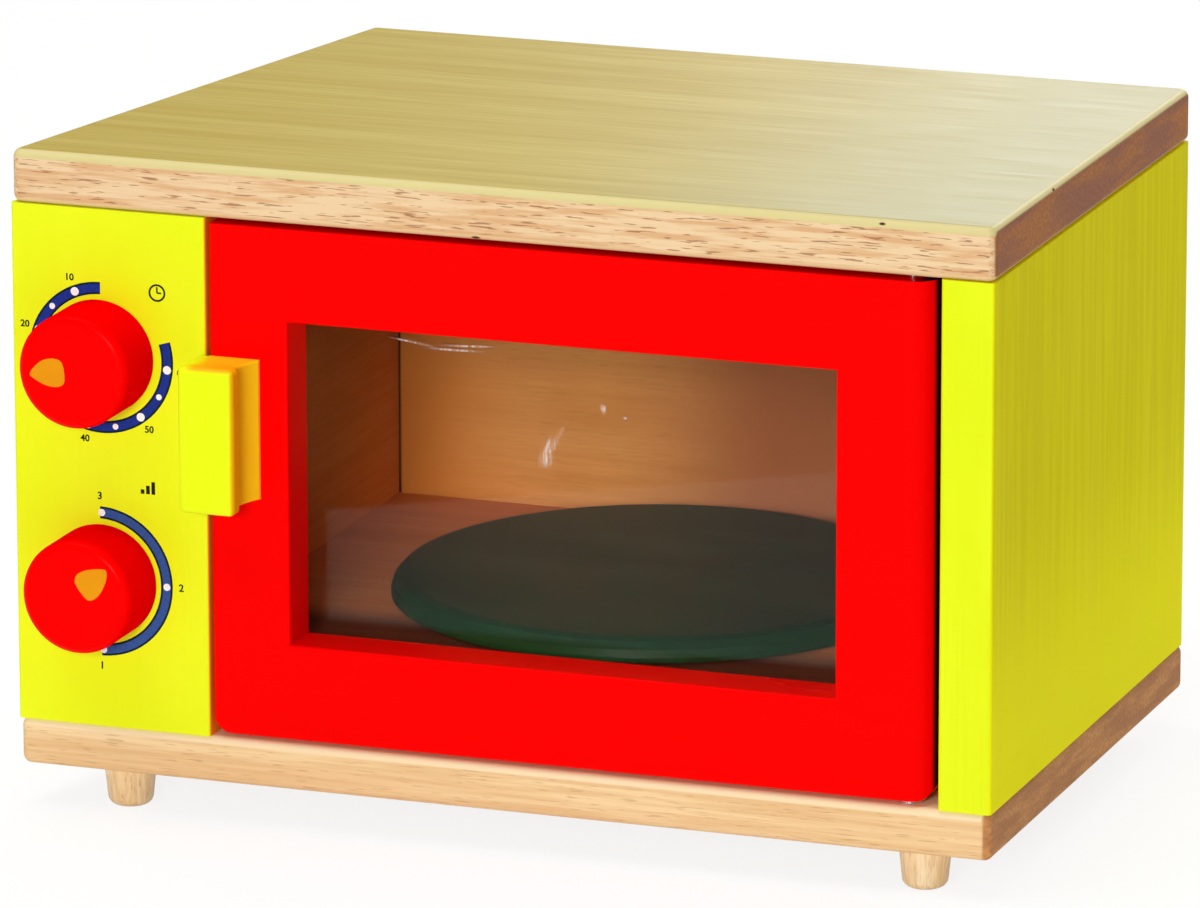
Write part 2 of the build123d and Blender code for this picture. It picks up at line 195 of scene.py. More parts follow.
def grain_parts(material, along, shift=0.0, pore_mm=PORE_MM):
    """The broad bands, the fine fibres and the open pores of one board, each from 0 to 1."""
    patterns = (
        (stretched_noise(material, along, *BAND_MM, 3.0, shift), 0.3, 0.7),
        (stretched_noise(material, along, *FIBRE_MM, 2.0, shift + 3.1), 0.28, 0.72),
        (stretched_noise(material, along, *pore_mm, 1.0, shift + 7.7), 0.6, 0.7),
    )
    return [
        add(material, "MapRange", {"Value": noise, "From Min": low, "From Max": high}, **SOFT)
        for noise, low, high in patterns
    ]


print("length and width of bands", BAND_MM, "fibres", FIBRE_MM, "pores", PORE_MM, "mm")

# %% [markdown]
# Clear lacquer over wood is a thin hard film of IOR about 1.5. On these toys it is sprayed
# satin: the film follows the pores a little, so a very low bump of the fibres goes under it and
# the roughness wanders slightly. This finish ends every wood recipe. On some boards the film is
# thinner on the sawn ends, so its mirror strength can be a pattern as well as a number.

# %% Finish a wood with satin lacquer
FILM_IOR = 1.5
EXPORTED_SHEEN = 0.25


def thin_film(material, surface, level):
    """Lets the film's mirror strength follow a pattern. The export leaves this link out and keeps
    the number that the socket already has."""
    material.node_tree.links.new(level, surface.node.inputs["Specular IOR Level"])


def satin_lacquer(material, colour, fibres, roughness, sheen=0.5):
    """Ends a wood recipe with clear satin lacquer and a trace of raised grain.

    sheen is the film's specular level, a number or a pattern."""
    relief = add(material, "Bump", {"Height": fibres, "Strength": 0.12, "Distance": 0.05 * MM})
    wander = {"Value": fibres, "To Min": roughness - 0.04, "To Max": roughness + 0.05}
    thinned = isinstance(sheen, bpy.types.NodeSocket)
    surface = add(
        material,
        "BsdfPrincipled",
        {
            "Base Color": colour,
            "Roughness": add(material, "MapRange", wander, **SOFT),
            "Normal": relief,
            "IOR": FILM_IOR,
            "Specular IOR Level": EXPORTED_SHEEN if thinned else sheen,
        },
    )
    if thinned:
        thin_film(material, surface, sheen)
    add(material, "OutputMaterial", {"Surface": surface})
    return material


print("satin lacquer: IOR", FILM_IOR)

# %% [markdown]
# A board looks different on its face, its edges and its sawn ends, and has small knots in places
# of its own. Separate materials on separate faces could do that, but the rounded edges would get
# hard borders. So the recipes ask which way a point looks, where it is, and how far it is from
# the middle of a mark, and fade from one to the other.

# %% Tell faces, places and small marks apart
def facing(material, axis, one_way=False):
    """How squarely a face looks along axis 0, 1 or 2: 0 to 1, or with one_way -1 to 1."""
    normal = add(material, "TexCoord", output="Normal")
    part = add(material, "SeparateXYZ", {0: normal}, axis)
    return part if one_way else add(material, "Math", {0: part}, operation="ABSOLUTE")


def place_along(material, axis):
    """A point's x, y or z in metres."""
    return add(material, "SeparateXYZ", {0: add(material, "TexCoord", output="Object")}, axis)


def thirsty_ends(material, start, end):
    """The film's sheen: soft on the long faces, next to none on the sawn ends, which drink it."""
    fade = {"From Min": start, "From Max": end, "To Min": 0.25, "To Max": 0.02}
    return add(material, "MapRange", {"Value": facing(material, 0), **fade}, **SOFT)


def marks(material, spots, soft_from=0.5):
    """Small oval marks: 1 inside and 0 outside, with a soft edge from soft_from of the radius.

    A spot is its middle and its half lengths along x, y and z in mm, and its tilt to the right in
    degrees."""
    place = add(material, "TexCoord", output="Object")
    total = None
    for middle, half, tilt in spots:
        away = {0: place, 1: [c * MM for c in middle]}
        away = add(material, "VectorMath", away, operation="SUBTRACT")
        turned = {"Vector": away, "Rotation": (0.0, math.radians(-tilt), 0.0)}
        turned = add(material, "Mapping", turned)
        measured = add(material, "Mapping", {"Vector": turned, "Scale": [1.0 / (h * MM) for h in half]})
        distance = add(material, "VectorMath", {0: measured}, "Value", operation="LENGTH")
        fade = {"Value": distance, "From Min": soft_from, "To Min": 1.0, "To Max": 0.0}
        mark = add(material, "MapRange", fade, **SOFT)
        total = mark if total is None else add(material, "Math", {0: total, 1: mark}, operation="MAXIMUM")
    return total


print("faces, places and marks can be told apart")

# %% [markdown]
# ## The top board
# The top is a pale olive-tan face with quiet straight grain. Its front edge shows the wood in
# section: reddish pores, 5 to 9 mm long, between two lighter bands that are painted highlights
# where the edge is rounded over. The sawn ends drink the lacquer and come out a deep reddish
# brown. To the right the face is painted paler and greyer, a painted reflection that adds to the
# bright card's reflection there. Two tiny knots sit on the front edge and one on the right edge.
# One material does all of it, by height in the board and by which way a face looks.

# %% Mix the top board's finish
TOP_UNDER, TOP_FACE = 194.0 * MM, 211.0 * MM
PAINTED_REFLECTION_FROM, PAINTED_REFLECTION_FULL = 0.0, 150.0 * MM
TOP_KNOTS = [
    ((-6.0, FRONT_Y, 194.8), (2.0, 2.0, 0.8), 0.0),
    ((124.3, FRONT_Y + 0.6, 209.6), (1.4, 1.4, 0.55), 0.0),
    ((159.3, -31.5, 209.8), (1.4, 1.4, 0.55), 0.0),
]


def rubberwood_top(name):
    """Lacquered rubberwood: a soft glow along the grain on the face, open pores on the edge, dull
    dark blotches where the saw cut across, painted highlights on the rounded edges and a painted
    reflection that grows to the right."""
    material = new_material(name)
    bands, fibres, pores = grain_parts(material, 0)
    face = add(material, "Mix", {0: bands, 6: "#BFA742", 7: "#CDB85C"}, **AS_COLOUR)
    face = lay_over(material, face, "#AD9342", fibres, most=0.28)
    x, z = place_along(material, 0), place_along(material, 2)
    # painted reflection: the face turns paler and greyer to the right
    face = lay_over(material, face, "#B8B07A", x, PAINTED_REFLECTION_FROM, PAINTED_REFLECTION_FULL)
    red_streaks = stretched_noise(material, 0, 26.0, 1.7, 3.0, 5.0)
    core = lay_over(material, "#ECCEA2", "#DDAE7C", red_streaks, 0.38, 0.66)
    core = lay_over(material, core, "#9C5F3C", pores, most=0.75)
    blotches = stretched_noise(material, 1, 38.0, 6.0, 3.0, 9.0)
    end = lay_over(material, "#BC7A44", "#A06A52", blotches, 0.36, 0.62)
    end = lay_over(material, end, "#96592F", fibres, most=0.5)
    edge = lay_over(material, core, end, facing(material, 0), 0.7, 0.95)
    # painted highlights: lighter bands along the rounded upper and lower front edges
    edge = lay_over(material, edge, "#D9CB8C", z, TOP_FACE - 2.9 * MM, TOP_FACE - 2.2 * MM)
    edge = lay_over(material, edge, "#E8C896", z, TOP_UNDER + 2.1 * MM, TOP_UNDER + 1.4 * MM)
    edge = lay_over(material, edge, end, facing(material, 0), 0.82, 0.95)
    colour = lay_over(material, edge, face, facing(material, 2), 0.93, 0.995)
    knots = marks(material, TOP_KNOTS)
    colour = add(material, "Mix", {0: knots, 6: colour, 7: "#4A2A16"}, **AS_COLOUR)
    return satin_lacquer(material, colour, fibres, 0.42, thirsty_ends(material, 0.4, 0.7))


top_wood = rubberwood_top("rubberwood_top_satin_lacquer")
print("made", top_wood.name, "with", len(TOP_KNOTS), "knots")

# %% [markdown]
# ## The base board and the feet
# The base is the same timber, but its front edge is a honey tone with long fine streaks and hardly
# any open pores, and a paler band along its rounded upper edge is a painted highlight. Its sawn
# right end is darker and blotched, and that tone reaches onto the rounded arris above it as painted
# shade. The feet are turned from the same wood with the grain upright, in paler tones that are
# painted light against the shade under the base, and a little shinier.

# %% Mix the honey-coloured wood
BASE_TOP = 28.0 * MM
HONEY_PORE_MM = (9.0, 0.5)


def honey_grain(name, along, shift, light, dark, ends):
    """A new material with honey-coloured grain, its colour and its fibres."""
    material = new_material(name)
    bands, fibres, pores = grain_parts(material, along, shift, HONEY_PORE_MM)
    colour = add(material, "Mix", {0: bands, 6: light, 7: dark}, **AS_COLOUR)
    colour = lay_over(material, colour, "#DDA86C", fibres, most=0.45)
    colour = lay_over(material, colour, "#B0784A", pores, most=0.35)
    end = add(material, "Mix", {0: fibres, 6: ends, 7: "#BC8050"}, **AS_COLOUR)
    colour = lay_over(material, colour, end, facing(material, along), 0.75, 0.95)
    return material, colour, fibres


def base_board_wood(name):
    """Lacquered rubberwood: long pale streaks under a satin film, a painted highlight on the rounded upper
    edge, and a dull sawn end whose tone reaches the arris as painted shade.
    """
    material, colour, fibres = honey_grain(name, 0, 11.0, "#F8DAA6", "#EEC692", "#D29963")
    z = place_along(material, 2)
    # painted highlight: a paler band on the rounded upper edge
    colour = lay_over(material, colour, "#F9E0B4", z, BASE_TOP - 2.7 * MM, BASE_TOP - 1.9 * MM)
    blotches = stretched_noise(material, 1, 30.0, 5.0, 3.0, 15.0)
    end = lay_over(material, "#D99C62", "#BC8258", blotches, 0.36, 0.62)
    end = lay_over(material, end, "#B07444", fibres, most=0.5)
    # the sawn end's tone starts on the rounded arris, where it is partly painted shade
    colour = lay_over(material, colour, end, facing(material, 0, one_way=True), 0.03, 0.3)
    return satin_lacquer(material, colour, fibres, 0.42, thirsty_ends(material, 0.02, 0.3))


def turned_foot_wood(name):
    """Turned rubberwood: upright grain, evenly shiny from the lathe, with paler tones painted as light
    against the shade under the base.
    """
    # paler tones: painted light on the feet, which sit in the base's shade
    material, colour, fibres = honey_grain(name, 2, 23.0, "#FCE4BA", "#F3CF98", "#EBC694")
    return satin_lacquer(material, colour, fibres, 0.4)


base_wood = base_board_wood("rubberwood_base_satin_lacquer")
foot_wood = turned_foot_wood("rubberwood_foot_turned")
print("made", base_wood.name, foot_wood.name)

# %% [markdown]
# ## Wood inside the oven
# Through the window the walls look warm orange-brown. They are bare boards with one thin coat of
# an amber stain, so they are duller than the outside and take the stain unevenly. All of it grows
# from the same grain as the boards outside.

# %% Brush one thin coat on bare wood
def thin_coat(name, along, shift, light, dark, line):
    """A new material with grain under one thin coat: its colour, its fibres and its bands."""
    material = new_material(name)
    bands, fibres, pores = grain_parts(material, along, shift)
    blotches = stretched_noise(material, along, 60.0, 34.0, 3.0, shift + 5.0)
    uneven = add(material, "MapRange", {"Value": blotches, "From Min": 0.3, "From Max": 0.7}, **SOFT)
    tone = add(material, "Math", {0: bands, 1: uneven}, operation="MULTIPLY")
    colour = add(material, "Mix", {0: tone, 6: light, 7: dark}, **AS_COLOUR)
    colour = lay_over(material, colour, line, fibres, most=0.14)
    colour = lay_over(material, colour, "#8A4E24", pores, most=0.15)
    return material, colour, fibres, bands


def inner_wood(name, along, shift, light, dark, line):
    """Thinly coated wood: dull, with soft uneven tones and little grain."""
    material, colour, fibres, _ = thin_coat(name, along, shift, light, dark, line)
    return satin_lacquer(material, colour, fibres, 0.5, 0.2)


side_wood = inner_wood("rubberwood_cavity_side", 1, 37.0, "#D67838", "#C6692C", "#B65A24")
dowel_wood = inner_wood("beech_dowel_bare", 2, 47.0, "#E2C092", "#D3AB78", "#C09660")
print("made", side_wood.name, dowel_wood.name)

# %% [markdown]
# The back wall is painted brightest a little left of its middle and darker towards the corners, a
# painted pool of the light that falls in through the window, with painted shade round it. A narrow
# dark line runs along its corner with the left wall. Its outside has no stain. The floor is painted
# dark brown near the door, a painted shadow of the door's frame. Lamps could give these changes
# too, but they are this soft only through the small window, and a tone in the wood stays right in
# every view.

# %% Stain the back wall and the floor
PAINTED_LIGHT_X = -48.0 * MM
LEFT_WALL_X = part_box("divider_wall")[1][0]
DOOR_BACK_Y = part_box("door_frame")[1][1] / MM


def back_wall_wood(name):
    """Stained wood inside, amber and uneven, with a painted pool of light and painted shade towards the
    corners; plain pale wood on the outside.
    """
    material, colour, fibres, bands = thin_coat(name, 0, 31.0, "#DE9252", "#CC7E3E", "#BC6C30")
    x = place_along(material, 0)
    # painted light and shade: more orange left of the bright middle, darker to its right, a dark line at the
    # left corner
    for tone, start, full in (
        ("#CE7630", PAINTED_LIGHT_X - 8.0 * MM, PAINTED_LIGHT_X - 60.0 * MM),
        ("#A35A38", PAINTED_LIGHT_X + 10.0 * MM, PAINTED_LIGHT_X + 75.0 * MM),
        ("#3C1A08", LEFT_WALL_X + 1.3 * MM, LEFT_WALL_X + 0.3 * MM),
    ):
        colour = lay_over(material, colour, tone, x, start, full)
    outside = add(material, "Mix", {0: bands, 6: "#EBC48C", 7: "#DCB074"}, **AS_COLOUR)
    outside = lay_over(material, outside, "#C79858", fibres, most=0.3)
    colour = lay_over(material, colour, outside, facing(material, 1, one_way=True), -0.2, 0.2)
    return satin_lacquer(material, colour, fibres, 0.5, 0.2)


def cavity_floor_wood(name):
    """Stained wood, reddish and dull, with a painted shadow: a dark strip near the door."""
    material, colour, fibres, _ = thin_coat(name, 0, 43.0, "#D37A4A", "#C46A3A", "#B45C2C")
    y, door_back = place_along(material, 1), DOOR_BACK_Y * MM
    # painted shadow of the door's frame: dark brown near the door
    colour = lay_over(material, colour, "#5A2C1C", y, door_back + 46.0 * MM, door_back + 22.0 * MM)
    return satin_lacquer(material, colour, fibres, 0.5, 0.2)


wall_wood = back_wall_wood("rubberwood_cavity_wall")
floor_wood = cavity_floor_wood("rubberwood_cavity_floor")
print("made", wall_wood.name, floor_wood.name)

# %% [markdown]
# ## Paint on wood
# The coloured parts are sprayed and rubbed smooth between coats. What is left for the eye is a
# film of IOR 1.5, a faint print of the grain below, a trace of orange peel at about 2 mm, and
# colour that thins a little where the film does. The white shine of such bright paint would look
# chalky, so it is tinted with the paint's own colour.

# %% Lay on coats and a film of enamel
def paint_coats(name, body, thin, along, lines):
    """A new material with the colour of its coats, thinner over the fibres and in broad clouds."""
    material = new_material(name)
    _, fibres, _ = grain_parts(material, along, 53.0)
    cloud = stretched_noise(material, along, 70.0, 26.0, 2.0, 61.0)
    colour = lay_over(material, body, thin, cloud, 0.3, 0.7, 0.6)
    colour = lay_over(material, colour, thin, fibres, 0.35, 1.0, lines)
    return material, colour, fibres, cloud


def enamel_film(material, colour, fibres, cloud, roughness, shine, tint="#FFFFFF", peel_mm=2.0, relief=0.1):
    """Ends a recipe with the paint's smooth film, a trace of orange peel and the grain below."""
    peel = stretched_noise(material, 0, peel_mm, peel_mm, 1.0, 67.0)
    height = add(material, "Math", {0: peel, 1: fibres}, operation="ADD")
    wander = {"From Min": 0.2, "From Max": 0.8, "To Min": roughness - 0.03, "To Max": roughness + 0.05}
    surface = add(
        material,
        "BsdfPrincipled",
        {
            "Base Color": colour,
            "Roughness": add(material, "MapRange", {"Value": cloud, **wander}, **SOFT),
            "Normal": add(material, "Bump", {"Height": height, "Strength": relief, "Distance": 0.04 * MM}),
            "IOR": FILM_IOR,
            "Specular IOR Level": shine,
            "Specular Tint": tint,
        },
    )
    add(material, "OutputMaterial", {"Surface": surface})
    return surface


print("enamel film: IOR", FILM_IOR)

# %% [markdown]
# The yellow isn't painted the same all over. The side panels show upright grain, and their side
# and top faces are a more olive yellow, darker higher up, as painted shade. The control panel's
# sawn side, in the gap beside the door, is painted orange, and so are the side and the top of the
# handle: painted light, the door's red bounced onto the yellow, with painted shade in the gap.
# Each part gets its own recipe, so that these tones stay on the paint in every view.

# %% Spray the yellow parts
YELLOW_GLOSS = "#FFFFB0"
DOOR_LEFT, DOOR_RIGHT = [corner[0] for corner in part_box("door_frame")]


def painted_side_light(material, colour, side, from_x=None, start=0.3, end=0.85):
    """Another tone painted on faces that look sideways or up, as painted light or shade, only to the right
    of from_x if it is given.
    """
    up = facing(material, 2, one_way=True)
    aside = add(material, "Math", {0: facing(material, 0), 1: up}, operation="MAXIMUM")
    share = add(material, "MapRange", {"Value": aside, "From Min": start, "From Max": end}, **SOFT)
    if from_x is not None:
        near = {"From Min": from_x - 2.0 * MM, "From Max": from_x + 3.0 * MM}
        near = add(material, "MapRange", {"Value": place_along(material, 0), **near}, **SOFT)
        share = add(material, "Math", {0: share, 1: near}, operation="MULTIPLY")
    return add(material, "Mix", {0: share, 6: colour, 7: side}, **AS_COLOUR)


def side_panel_paint(name):
    """Matt yellow enamel over upright grain that prints through as soft lines, with painted shade: more
    olive on the side and top faces, darker higher up.
    """
    material, colour, fibres, cloud = paint_coats(name, "#E9F824", "#E1F018", 2, 0.3)
    streaks = stretched_noise(material, 2, 90.0, 3.0, 3.0, 19.0)
    # painted shade: the side and top faces go olive, more so higher up
    high = lay_over(material, "#ECE104", "#E3D600", streaks, 0.3, 0.7)
    wide = lay_over(material, high, "#FFF810", place_along(material, 2), 125.0 * MM, 35.0 * MM)
    colour = painted_side_light(material, colour, wide)
    enamel_film(material, colour, fibres, cloud, 0.5, 0.012)
    return material


def control_panel_paint(name):
    """Satin yellow enamel; its sawn side is painted orange, the door's red light bounced into the shaded
    gap.
    """
    material, colour, fibres, cloud = paint_coats(name, "#EEFB20", "#E8F512", 2, 0.2)
    # painted light: orange on the sawn side, red light bounced from the door
    colour = lay_over(material, colour, "#FF9410", facing(material, 0, one_way=True), 0.6, 0.95)
    enamel_film(material, colour, fibres, cloud, 0.35, 0.15, YELLOW_GLOSS)
    return material


def handle_paint(name):
    """Satin yellow enamel, its side and top painted orange as the door's red light bounced onto it, lighter
    towards the door.
    """
    material, colour, fibres, cloud = paint_coats(name, "#EEFE18", "#E8F80E", 2, 0.15)
    far, near = (FRONT_Y - 15.0) * MM, (FRONT_Y - 2.0) * MM
    # painted light: orange on the side and top, red bounced from the door, lighter nearer it
    side = lay_over(material, "#F8B40C", "#FFD41C", place_along(material, 1), far, near)
    colour = painted_side_light(material, colour, side, DOOR_LEFT)
    enamel_film(material, colour, fibres, cloud, 0.35, 0.15, YELLOW_GLOSS)
    return material


yellow_panel = control_panel_paint("enamel_yellow_control_panel")
yellow_side = side_panel_paint("enamel_yellow_side_panel")
yellow_handle = handle_paint("enamel_yellow_handle")
print("made", yellow_panel.name, yellow_side.name, yellow_handle.name)

# %% [markdown]
# The door and the knobs are a pure red, the turntable a very dark green and the knobs' pointers
# orange. Round the door's hinge edge, in the gap to the side panel, the red is painted near black
# as painted shade. The knobs are polished on the turned face and rubbed dull on the side, where
# fingers grip them.

# %% Spray the red, green and orange parts
RED_GLOSS = "#FFA0A0"


def door_paint(name):
    """Satin red enamel with painted shade, near black, round the hinge edge."""
    material, colour, fibres, cloud = paint_coats(name, "#FC0101", "#F60000", 0, 0.12)
    # painted shade: near black on the hinge edge, in the gap beside the side panel
    colour = painted_side_light(material, colour, "#1C0002", DOOR_RIGHT - 6.0 * MM, 0.87, 0.97)
    enamel_film(material, colour, fibres, cloud, 0.3, 0.06, RED_GLOSS)
    return material


def knob_paint(name):
    """Red enamel: a small highlight on the face, none on the rubbed side."""
    material, colour, fibres, cloud = paint_coats(name, "#FC0101", "#F40002", 1, 0.1)
    surface = enamel_film(material, colour, fibres, cloud, 0.26, 0.05, RED_GLOSS)
    rubbed = {"From Min": 0.5, "From Max": 0.9, "To Min": 0.0, "To Max": 0.05}
    level = add(material, "MapRange", {"Value": facing(material, 1), **rubbed}, **SOFT)
    thin_film(material, surface, level)
    return material


def table_paint(name):
    """Dark green enamel, nearly smooth, so that the disc reads as one calm shape."""
    material, colour, fibres, cloud = paint_coats(name, "#0C3418", "#082812", 0, 0.3)
    enamel_film(material, colour, fibres, cloud, 0.4, 0.08, peel_mm=14.0, relief=0.01)
    return material


def pointer_paint(name):
    """Orange enamel, put on thick by hand, with a soft edge of light."""
    material, colour, fibres, cloud = paint_coats(name, "#EC9A08", "#E48A04", 0, 0.1)
    enamel_film(material, colour, fibres, cloud, 0.35, 0.1)
    return material


red_door = door_paint("enamel_red_door")
red_knob = knob_paint("enamel_red_knob")
green_table = table_paint("enamel_green_turntable")
orange_mark = pointer_paint("enamel_orange_pointer")
print("made", red_door.name, red_knob.name, green_table.name, orange_mark.name)

# %% [markdown]
# ## The window
# The window is a 2 mm acrylic sheet, clear with a faint grey-green body. Plain acrylic has an IOR
# of 1.49, but the photograph shows a much weaker mirror image, as a sheet with an anti-glare coat
# gives, so its IOR is 1.22 here. Lamps have to shine through it, so rays that look for a lamp meet
# a plain see-through shader instead of the refracting one, as a thin pane lets them pass anyway.
# A few short white strokes on the pane are painted glints, a painted reflection of light on it:
# patches of white over a streaky pattern.

# %% Cast the window
PANE_IOR = 1.22
PANE_FRONT_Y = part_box("window_pane")[0][1] / MM
PAINTED_GLINTS = [
    ((10.6, PANE_FRONT_Y, 122.8), (3.2, 0.5, 3.8), 20.0),
    ((13.6, PANE_FRONT_Y, 127.8), (1.3, 0.5, 8.5), 29.0),
    ((11.0, PANE_FRONT_Y, 126.0), (1.1, 0.5, 6.5), 22.0),
    ((29.5, PANE_FRONT_Y, 140.4), (1.6, 0.5, 2.1), -30.0),
    ((36.6, PANE_FRONT_Y, 138.0), (1.6, 0.5, 0.6), 0.0),
    ((-33.0, PANE_FRONT_Y, 156.2), (10.0, 0.5, 0.5), 7.0),
    ((-19.0, PANE_FRONT_Y, 154.8), (13.0, 0.5, 0.6), -1.0),
    ((-14.0, PANE_FRONT_Y, 156.4), (12.0, 0.5, 0.5), -3.0),
]


def cast_acrylic(name):
    """Cast acrylic: clear and flat, with a weak mirror image and a few painted glints in white."""
    material = new_material(name)
    haze = stretched_noise(material, 0, 30.0, 30.0, 2.0, 71.0)
    polish = {"Value": haze, "From Min": 0.3, "From Max": 0.7, "To Min": 0.004, "To Max": 0.016}
    sheet = add(
        material,
        "BsdfPrincipled",
        {
            "Base Color": "#EEF3F0",
            "Roughness": add(material, "MapRange", polish, **SOFT),
            "IOR": PANE_IOR,
            "Transmission Weight": 1.0,
        },
    )
    open_way = add(material, "BsdfTransparent", {"Color": "#F2F6F4"})
    lamp_ray = add(material, "LightPath", output="Is Shadow Ray")
    clear = add(material, "MixShader", {0: lamp_ray, 1: sheet, 2: open_way})
    streaks = stretched_noise(material, 2, 9.0, 0.9, 2.0, 77.0)
    strokes = {"Value": streaks, "From Min": 0.4, "From Max": 0.62, "To Min": 0.12, "To Max": 0.6}
    strokes = add(material, "MapRange", strokes, **SOFT)
    # painted glints: white strokes where light would glance off the pane
    glint_share = {0: marks(material, PAINTED_GLINTS, 0.1), 1: strokes}
    glint_share = add(material, "Math", glint_share, operation="MULTIPLY")
    white = add(material, "BsdfDiffuse", {"Color": "#F4EFEA"})
    worn = add(material, "MixShader", {0: glint_share, 1: clear, 2: white})
    add(material, "OutputMaterial", {"Surface": worn})
    return material


window_acrylic = cast_acrylic("acrylic_cast_sheet")
print("made", window_acrylic.name, "with", len(PAINTED_GLINTS), "painted_glints")

# %% [markdown]
# ## Metal, magnet and nylon
# Screws and pins are zinc-plated steel, a cool slightly rough metal. The magnet is fired ferrite,
# dark and dull. The turntable's slip washer is moulded nylon, milky and a little shiny. All three
# are plain surfaces whose tone and roughness wander within a millimetre, so one recipe with other
# colours does for them.

# %% Mix the metal and the small plastics
def small_part(name, light, dark, roughness, metallic=0.0, grain_mm=0.8, shine=0.5):
    """A plain plated, fired, moulded or printed surface: two close tones, a wandering roughness."""
    material = new_material(name)
    speckle = stretched_noise(material, 2, grain_mm, grain_mm, 3.0, 83.0)
    wander = {"From Min": 0.3, "From Max": 0.7, "To Min": roughness - 0.06, "To Max": roughness + 0.06}
    surface = add(
        material,
        "BsdfPrincipled",
        {
            "Base Color": lay_over(material, light, dark, speckle, 0.3, 0.7),
            "Roughness": add(material, "MapRange", {"Value": speckle, **wander}, **SOFT),
            "Metallic": metallic,
            "Specular IOR Level": shine,
            "Normal": add(material, "Bump", {"Height": speckle, "Strength": 0.15, "Distance": 0.02 * MM}),
        },
    )
    add(material, "OutputMaterial", {"Surface": surface})
    return material


zinc_steel = small_part("steel_zinc_plated", "#D3D3D6", "#AFB1B8", 0.3, metallic=1.0)
ferrite = small_part("ferrite_fired", "#2C2C2F", "#1E1E21", 0.7)
nylon = small_part("nylon_moulded", "#E4E2D8", "#D5D2C6", 0.45)
print("made", zinc_steel.name, ferrite.name, nylon.name)

# %% [markdown]
# ## Dress the CAD nodes
# A CAD node whose shape is right only needs a better finish, which goes into its material slots.
# The slots are linked to the object, so the frame's meshes stay untouched. Dowels, axles and
# collars are bare beech; screws are steel.

# %% Give each CAD node its finish
FINISHES = [
    (top_wood, "top_board"),
    (base_wood, "base_board"),
    (foot_wood, "foot_front_left foot_front_right foot_rear_left foot_rear_right"),
    (yellow_panel, "control_panel"),
    (yellow_side, "left_side_panel right_side_panel"),
    (yellow_handle, "door_handle"),
    (red_door, "door_frame"),
    (red_knob, "timer_knob power_knob"),
    (green_table, "turntable_disc"),
    (window_acrylic, "window_pane"),
    (side_wood, "divider_wall catch_block floor_front_rail"),
    (wall_wood, "back_panel back_top_batten"),
    (floor_wood, "cavity_floor floor_rear_rail"),
    (ferrite, "catch_magnet"),
    (nylon, "turntable_washer"),
    (zinc_steel, "hinge_pins hinge_washer catch_plate"),
]
finish_of = {node_name: finish for finish, names in FINISHES for node_name in names.split()}
for node_name, node in frame["nodes"].items():
    finish = finish_of.get(node_name, zinc_steel if "screws" in node_name else dowel_wood)
    if not node.material_slots:
        node.data.materials.append(finish)
    for slot in node.material_slots:
        slot.link = "OBJECT"
        slot.material = finish
print("finished", len(frame["nodes"]), "nodes")

# %% [markdown]
# ## Printed dials
# The dials are screen printed: an opaque ink film that stands a few hundredths of a millimetre
# proud. An image could carry them, but flat shapes with that thickness stay crisp in every view
# and ride on the model's bodies. They are drawn as outlines in millimetres on the panel
# (x to the right, z up) and joined into one piece for each colour.

# %% Mix the inks and turn a mesh into a piece
INK_MM = 0.05


def screen_ink(name, light, dark):
    """Screen ink: nearly matt, with the faint mottle of the mesh at about 1 mm."""
    return small_part(name, light, dark, 0.5, grain_mm=1.0, shine=0.05)


def finish_piece(name, bm, material, body):
    """Turns a bmesh into an object with its finish, riding on a CAD body."""
    bmesh.ops.recalc_face_normals(bm, faces=bm.faces)
    mesh = bpy.data.meshes.new(name)
    bm.to_mesh(mesh)
    bm.free()
    mesh.materials.append(material)
    piece = new_object(name, mesh)
    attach(piece, body)
    return piece


navy_ink = screen_ink("ink_navy", "#22389A", "#1C3086")
blue_ink = screen_ink("ink_blue", "#3A5CA0", "#325292")
edge_ink = screen_ink("ink_dark_edge", "#16243A", "#101C30")
white_ink = screen_ink("ink_white", "#FFFFFF", "#F6FBFB")
black_ink = screen_ink("ink_black", "#28260A", "#1C1A08")
print("five inks,", INK_MM, "mm thick")

# %% [markdown]
# Two kinds of flat shape are enough. A plate is an outline that is filled on both sides. A band
# follows an arc, so it is built from two rows of points, which gives even quads where a filled
# outline would give long thin triangles.

# %% Helpers for flat printed shapes
def skin(bm, lower, upper):
    """A wall of quads between two closed rings of points."""
    for i in range(len(lower)):
        j = (i + 1) % len(lower)
        bm.faces.new((lower[i], lower[j], upper[j], upper[i]))


def add_plate(bm, outline, back):
    """Adds a flat closed plate to bm. outline is a list of (x, z) in mm; back is its rear y."""
    rear = [bm.verts.new((x * MM, back * MM, z * MM)) for x, z in outline]
    front = [bm.verts.new((x * MM, (back - INK_MM) * MM, z * MM)) for x, z in outline]
    caps = [bm.faces.new(rear[::-1]), bm.faces.new(front)]
    skin(bm, rear, front)
    bmesh.ops.triangulate(bm, faces=caps)


def add_band(bm, band, back):
    """Adds a flat closed band to bm, from two rows of points that run side by side."""
    outer, inner, front_outer, front_inner = [
        [bm.verts.new((x * MM, y * MM, z * MM)) for x, z in row]
        for y in (back, back - INK_MM)
        for row in band
    ]
    walls = ((outer, inner), (front_inner, front_outer), (inner, front_inner), (front_outer, outer))
    for a, b in walls:
        for i in range(len(a) - 1):
            bm.faces.new((a[i], a[i + 1], b[i + 1], b[i]))
    for end in (0, -1):
        bm.faces.new((outer[end], inner[end], front_inner[end], front_outer[end]))


def circle(centre, radius, count=32):
    """A round outline."""
    angles = [2 * math.pi * i / count for i in range(count)]
    return [(centre[0] + radius * math.cos(a), centre[1] + radius * math.sin(a)) for a in angles]


